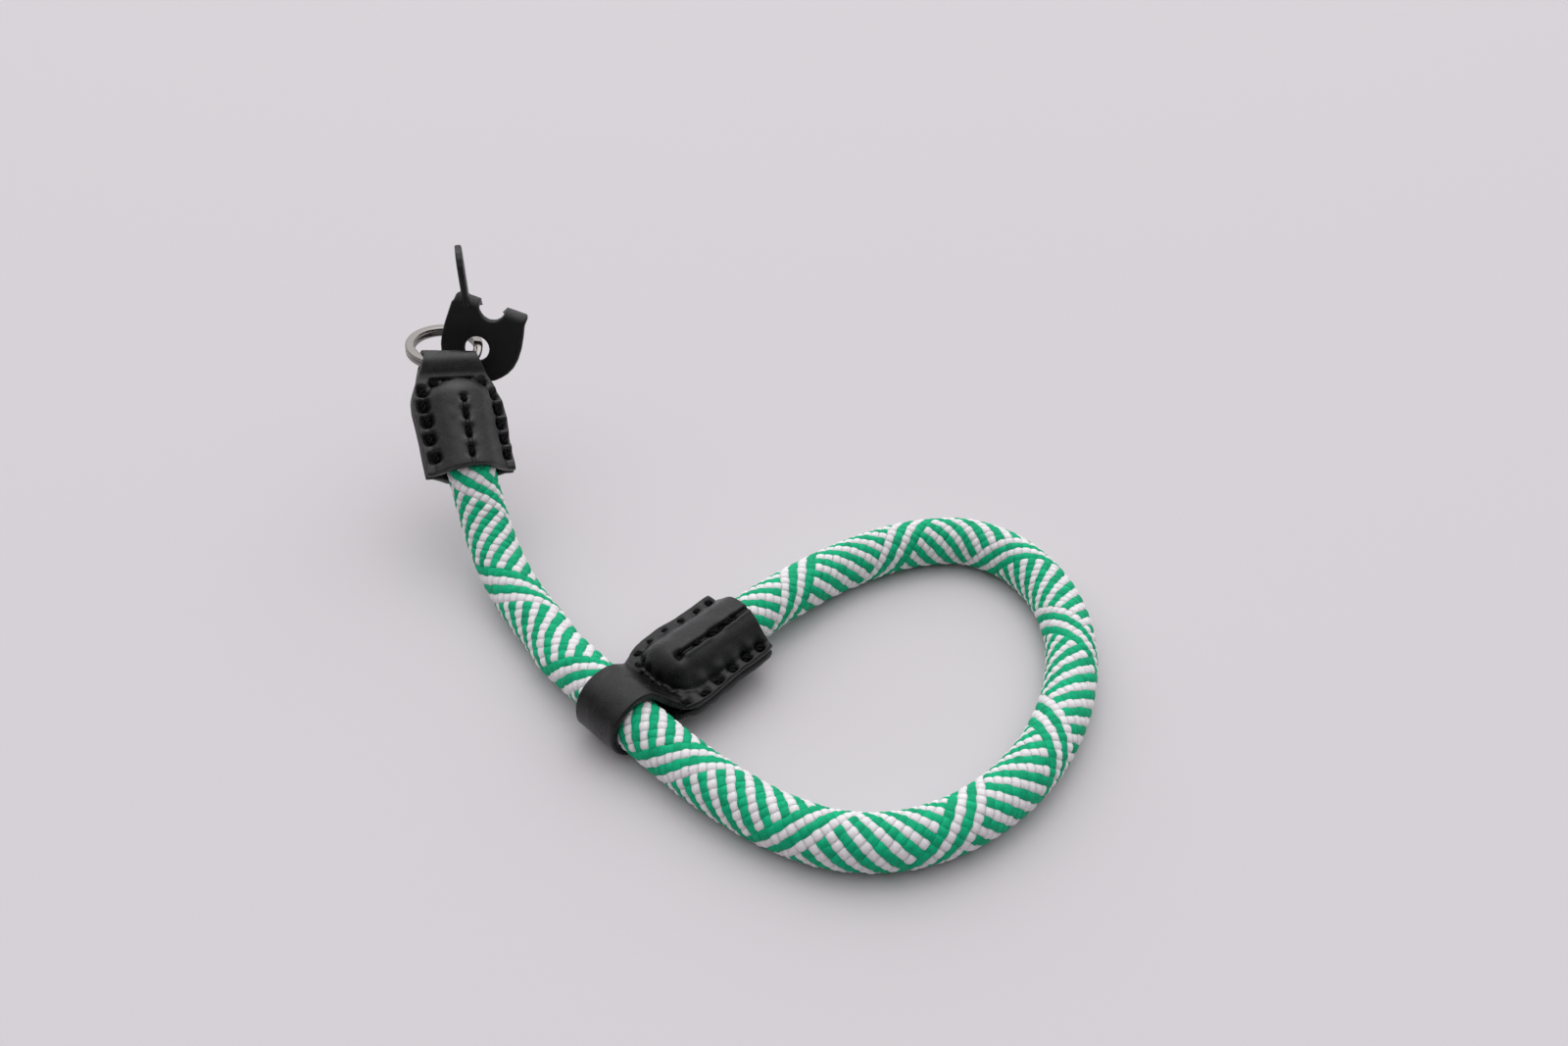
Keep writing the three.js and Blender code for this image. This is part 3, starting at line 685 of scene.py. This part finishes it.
def ring_fold(u):
    """The leather goes round the ring's wire. u is across the flat end of the strip, which
    is wider than the fold."""
    u = float(np.clip(u * (0.79 if u < 0 else 0.755), -6.4, 5.8))
    d = float(np.interp(u, ring_line[:, 0], ring_line[:, 1]))
    w = float(np.interp(u, ring_line[:, 0], ring_line[:, 2]))
    back = float(np.interp(u, [-6, -3, 0, 3, 6], [-2.9, -2.75, -2.55, -2.4, -2.3]))
    low = back - 0.42 * (2.0 - w)
    pts = [(4.4, 1.7), (3.3, 1.85), (1.9, 2.5), (0.3, 3.02), (-1.1, 2.8), (back + 0.25, 2.0), (back, 1.5),
           (0.5 * (back + low), 0.5 * (1.0 + w)), (low, w - 0.5), (max(d - 1.6, low + 0.5), w - 2.0), (d + 0.2, w - 2.75),
           (d + 2.3, w - 2.35), (3.7, -1.95), (4.4, -1.7)]
    return spline2(pts, 52)


ring_stitches = Stitches(ring_cap)
for s, u in ((7.7, -8.3), (11.4, -8.7), (15.3, -8.5), (19.7, -8.6), (24.4, -8.3)):
    ring_stitches.add(s, u, turn=3, length=3.0)
for s, u in ((9.3, 8.4), (13.2, 8.9), (17.0, 8.9), (20.8, 9.1), (24.6, 9.2)):
    ring_stitches.add(s, u, turn=-3, length=2.8)
for s, u, turn in ((5.6, -5.3, 58), (4.7, -2.2, 78), (4.2, 0.1, 90), (4.7, 2.6, -80), (5.9, 6.2, -55)):
    ring_stitches.add(s, u, turn=turn, length=2.1, dent=0.8, sink=1.0)
for s, u in ((7.7, -8.3), (11.4, -8.7), (15.3, -8.5), (19.7, -8.6), (24.4, -8.3),
             (9.3, 8.4), (13.2, 8.9), (17.0, 8.9), (20.8, 9.1), (24.6, 9.2)):
    ring_stitches.add(s, u, turn=0, length=3.0, side=-1)
for s, u, turn in ((5.6, -5.2, 60), (5.0, -1.6, 84), (5.0, 2.2, -84), (5.7, 5.6, -58)):
    ring_stitches.add(s, u, turn=turn, length=2.6, dent=0.7, sink=0.9, side=-1)


def seam_dents(s, u, side, line_at, start, stop, holes, depth=0.55):
    centre = line_at(s)
    x = u - centre
    run = np.clip((s - start) / 0.8, 0, 1) * np.clip((stop - s) / 0.5, 0, 1)
    out = run * (depth * np.exp(-(x / 0.42) ** 2) - 0.16 * np.exp(-((np.abs(x) - 0.95) / 0.45) ** 2))
    for hs, length, wide, deep in holes:
        out = out + deep * np.exp(-(((s - hs) / length) ** 4) - (x / wide) ** 2)
    return out * (side > 0)


ring_seam = lambda s: -0.25 - 0.02 * (s - 12)
RING_HOLES = [(11.7, 0.9, 0.9, 0.9), (15.6, 1.5, 1.05, 1.25), (20.0, 1.5, 1.05, 1.25), (24.8, 1.45, 1.05, 1.25)]
for s in (15.5, 20.0, 24.8):
    ring_stitches.add(s, float(ring_seam(s)), turn=10, length=2.5, dent=0.0, sink=1.3, radius=0.40)
ring_stitches.add(11.8, float(ring_seam(11.8)), turn=10, length=1.4, dent=0.0, sink=0.9, radius=0.40)


def ring_dents(s, u, side):
    dome = ring_cap.row(s)[3]
    crease = 0.25 * np.exp(-((np.abs(u) - 1.387 * dome + 1.5) / 0.6) ** 2) * np.clip(dome / 4, 0, 1)
    arch = 0.55 * np.exp(-((s - 4.5 - 0.045 * u * u) / 0.6) ** 2) * np.clip((7.5 - np.abs(u)) / 1.5, 0, 1)
    return (ring_stitches.dents(s, u, side) + (crease + arch) * (side != 0) + leather_waves(s, u, side, 3)
            + seam_dents(s, u, side, ring_seam, 11.3, 28.6, RING_HOLES))


verts, faces = build_cap(ring_cap, 28.4, 4.4, ring_fold, 0.26, 0.5, 104, ring_dents, 0.55)
# The ring cap uses the leather copy painted lighter.
add_piece("ring_cap_leather", verts, faces, LEATHER_PAINTED_LIGHTER, "strap", "ring_cap")
ring_stitches.shape.piece("ring_cap_thread", THREAD, "strap", "thread", "ring_cap")

# slider cap
R_BAND = ROPE_D / 2 + 0.3 + 1.45
band_row = lambda s: (s, 6.0, 6.0, math.sqrt(R_BAND**2 - s**2), 0)
SLIDER_ROWS = [
    (-R_BAND, 5.75, 5.75, 0.9, 0), *[band_row(s) for s in (-7, -6.4, -5.4, -4, -2.4, -0.8, 0.8, 2.4, 3.8)],
    (5, 6.1, 6.6, 5.4, 0), (6.2, 6.4, 7.2, 4.3, 0), (7.4, 7.2, 8.5, 3.2, 0), (8.6, 8.0, 9.8, 2.5, 0),
    (9.2, 8.4, 10.3, 2.1, 3.2), (10.2, 9.1, 11.1, 1.8, 4.8), (11.2, 9.7, 11.5, 1.7, 5.9), (12.2, 10.1, 11.6, 1.7, 6.7),
    (13.5, 10.5, 11.55, 1.7, 7.2), (15.5, 10.9, 11.5, 1.7, 7.35), (20, 11.3, 11.0, 1.7, 7.3), (24.5, 11.1, 10.6, 1.7, 7.3, 0.01),
    (29, 11.2, 10.6, 1.7, 7.35, 0.03), (33.2, 11.6, 10.4, 1.7, 7.45, 0.06), (35.0, 11.5, 9.9, 1.7, 7.4, 0.06),
]
slider = Cap(BAND, SLIDER_AXIS, np.cross([0, 0, 1.0], SLIDER_AXIS), SLIDER_ROWS, -0.5, 1.62)


def slider_fold(u):
    a = np.radians(np.linspace(59, 301, 78))
    return [(R_BAND * math.cos(t), R_BAND * math.sin(t)) for t in a]


slider_stitches = Stitches(slider)
NEAR = ((9.9, -9.3), (14.4, -10.0), (18.9, -9.6), (23.4, -9.2), (27.9, -9.0), (32.2, -8.8))
FAR = ((12.0, 8.3), (16.4, 9.3), (20.9, 9.7), (25.4, 9.6), (29.9, 9.6), (33.4, 9.7))
for side in (1, -1):
    for s, u in NEAR:
        slider_stitches.add(s, u, turn=4, length=2.4, dent=0.8, sink=0.85, wide=0.9, radius=0.38, side=side)
    for s, u in FAR:
        slider_stitches.add(s, u, turn=0, length=1.9, dent=0.6, sink=0.75, wide=0.75, radius=0.34, side=side)
for s, u, turn in ((9.3, -5.6, 55), (8.6, -1.8, 88), (8.8, 2.0, -80), (10.2, 5.4, -50)):
    slider_stitches.add(s, u, turn=turn, length=1.8, dent=0.7, sink=1.05, wide=0.9, radius=0.36)
    slider_stitches.add(s, u, turn=turn, length=1.8, dent=0.7, sink=1.05, wide=0.9, radius=0.36, side=-1)
slider_seam = lambda s: -2.35 + 0.02 * (s - 14)
SLIDER_HOLES = [(14.5, 1.0, 1.0, 1.3), (25.0, 2.1, 1.0, 1.2), (30.5, 0.8, 0.7, 0.6)]
slider_stitches.add(19.8, float(slider_seam(19.8)), turn=6, length=1.7, dent=0.1, sink=0.65, radius=0.32, wide=0.8)
slider_stitches.add(25.0, float(slider_seam(25.0)), turn=6, length=3.2, dent=0.0, sink=1.25, radius=0.40)
slider_stitches.add(28.7, float(slider_seam(28.7)), turn=6, length=2.4, dent=0.1, sink=0.6, radius=0.36, wide=0.8)


def slider_dents(s, u, side):
    dome = slider.row(s)[3]
    crease = 0.25 * np.exp(-((np.abs(u) - 1.387 * dome + 1.5) / 0.6) ** 2) * np.clip(dome / 4, 0, 1)
    puckers = ((0.25 * np.cos(2 * np.pi * (s - 9.9) / 4.5) + 0.22 * wander2(s / 1.5, u / 1.8 + 40, 21))
               * np.exp(-((np.abs(u) - 8.4) / 1.5) ** 2) * np.clip((dome - 2) / 3, 0, 1))
    return (slider_stitches.dents(s, u, side) + (crease + puckers) * (side != 0) + leather_waves(s, u, side, 9)
            + seam_dents(s, u, side, slider_seam, 14.4, 35.2, SLIDER_HOLES, 0.75))


verts, faces = build_cap(slider, 35.0, 3.8, slider_fold, 0.27, 0.5, 110, slider_dents)
# The slider cap uses the leather copy painted darker.
add_piece("slider_cap_leather", verts, faces, SLEEK_PAINTED_DARKER, "strap", "slider_cap")
slider_stitches.shape.piece("slider_cap_thread", THREAD, "strap", "thread", "slider_cap")

# ---------------------------------------------------------------- split ring
a = np.linspace(20.0, 700.0, 420)
climb = (COIL_H + COIL_GAP) / 2 * np.sin(np.clip((a - 360) / 20, -1, 1) * np.pi / 2)
b = 2 * np.pi * np.arange(20) / 20
radial = 0.5 * RING_BAND * soft(np.cos(b), 0.62)
axial = 0.5 * COIL_H * soft(np.sin(b), 0.62)
ends = np.minimum(1, np.sqrt(np.clip(np.minimum(a - 19.4, 700.6 - a) / 3.5, 0, 1)))[:, None]
rr = RING_R + radial[None, :] * ends
zz = climb[:, None] + axial[None, :] * ends
aa = np.radians(a)[:, None]
points = (RING_CENTRE + (rr * np.cos(aa))[..., None] * ring_x + (rr * np.sin(aa))[..., None] * ring_y
          + zz[..., None] * RING_AXIS)
wire = Shape()
wire.tube(points)
wire.piece("split_ring_wire", METAL, "ring", "ring_metal", "split_ring")

# ---------------------------------------------------------------- lug protector
tab_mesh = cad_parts["lug_protector"].data.copy()
tab_mesh.name = "lug_protector_leather"
tab_mesh.materials.clear()
tab_mesh.materials.append(PLAIN)
tab = bpy.data.objects.new("lug_protector_leather", tab_mesh)
scene.collection.objects.link(tab)
for kind, values in (("REMESH", {"mode": "VOXEL", "voxel_size": 0.00022}),
                     ("SMOOTH", {"factor": 0.5, "iterations": 10})):
    mod = tab.modifiers.new(kind.lower(), kind)
    for key, value in values.items():
        setattr(mod, key, value)
bpy.context.view_layer.update()
tab_final = bpy.data.meshes.new_from_object(tab.evaluated_get(bpy.context.evaluated_depsgraph_get()))
tab.modifiers.clear()
tab.data = tab_final
tab_final.name = "lug_protector_leather"
tab_final.shade_smooth()
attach(tab, "strap")
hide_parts("lug_protector")

# ---------------------------------------------------------------- floor and light
floor_mesh = bpy.data.meshes.new("floor")
floor_mesh.from_pydata([(-6, -4, FLOOR * MM), (6, -4, FLOOR * MM), (6, 8, FLOOR * MM), (-6, 8, FLOOR * MM)], [], [(0, 1, 2, 3)])
FLOOR_MAT, *_ = material("floor", (0.638, 0.600, 0.628), 0.6, specular=0.15)
floor_mesh.materials.append(FLOOR_MAT)
floor = bpy.data.objects.new("floor", floor_mesh)
scene.collection.objects.link(floor)


def area(name, at, aim, size, power, colour=(1, 1, 1)):
    light = bpy.data.lights.new(name, "AREA")
    light.shape = "RECTANGLE"
    light.size, light.size_y = size
    light.energy = power
    light.color = colour
    o = bpy.data.objects.new(name, light)
    back = unit(np.array(at, float) - np.array(aim, float))
    right = unit(np.cross([0.0, 0.0, 1.0], back) + [1e-6, 0, 0])
    up = np.cross(back, right)
    o.matrix_world = Matrix([[*right, 0], [*up, 0], [*back, 0], [0, 0, 0, 1]]).transposed()
    o.location = at
    scene.collection.objects.link(o)
    return o


area("key", (0.12, 0.98, 2.4), (0.05, -0.06, -0.03), (1.6, 1.6), 7.7)
world = bpy.data.worlds.new("world")
scene.world = world
world.use_nodes = True
w_nodes, w_links = world.node_tree.nodes, world.node_tree.links
facing = w_nodes.new("ShaderNodeVectorMath")
facing.operation = "DOT_PRODUCT"
facing.inputs[1].default_value = unit([-0.06, 0.43, 0.9])
w_links.new(w_nodes.new("ShaderNodeTexCoord").outputs["Generated"], facing.inputs[0])
sky = w_nodes.new("ShaderNodeMapRange")
sky.interpolation_type = "SMOOTHSTEP"
sky.inputs["From Min"].default_value = 0.0
sky.inputs["From Max"].default_value = 1.0
sky.inputs["To Min"].default_value = 0.055
sky.inputs["To Max"].default_value = 1.495
w_links.new(facing.outputs["Value"], sky.inputs["Value"])
w_links.new(sky.outputs["Result"], w_nodes["Background"].inputs["Strength"])
w_nodes["Background"].inputs["Color"].default_value = (0.98, 0.99, 1.0, 1)
